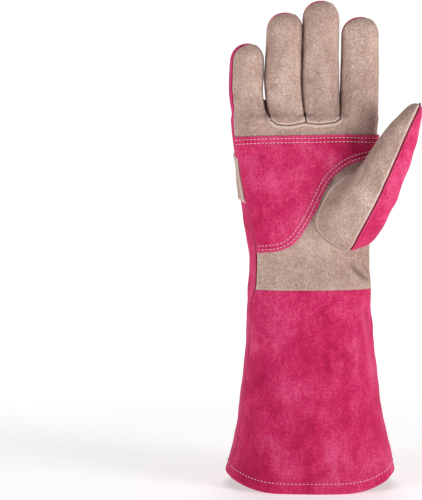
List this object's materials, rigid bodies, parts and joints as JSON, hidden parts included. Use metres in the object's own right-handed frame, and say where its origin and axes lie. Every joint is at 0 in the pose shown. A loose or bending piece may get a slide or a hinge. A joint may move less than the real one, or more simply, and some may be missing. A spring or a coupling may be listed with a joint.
{
  "type": "leather gardening glove",
  "caption": "Long suede gardening gauntlet for the right hand: pink back and flared cuff, beige fingers, palm and knuckle strap, and a stitched pink palm patch.",
  "frame": {"origin": "under the middle of the glove's bounding box, on the floor that the cuff's rim stands on", "axes": "+Z from the cuff's rim to the fingertips, -Y out of the palm, +X to the thumb's side"},
  "size_m": [0.1412, 0.0876, 0.3563],
  "materials": {
    "pink_suede": "napped suede, dyed deep pink",
    "beige_suede": "napped suede, undyed beige",
    "thread": "pale sewing thread"
  },
  "bodies": {
    "root": {"hand_back": "pink_suede", "cuff_back": "pink_suede", "knuckle_band": "beige_suede", "palm_base": "beige_suede", "ring_finger_front": "beige_suede", "middle_finger_front": "beige_suede", "palm_patch": "pink_suede", "thumb_front": "beige_suede", "thumb_back": "pink_suede", "cuff_palm": "pink_suede"}
  },
  "joints": []
}
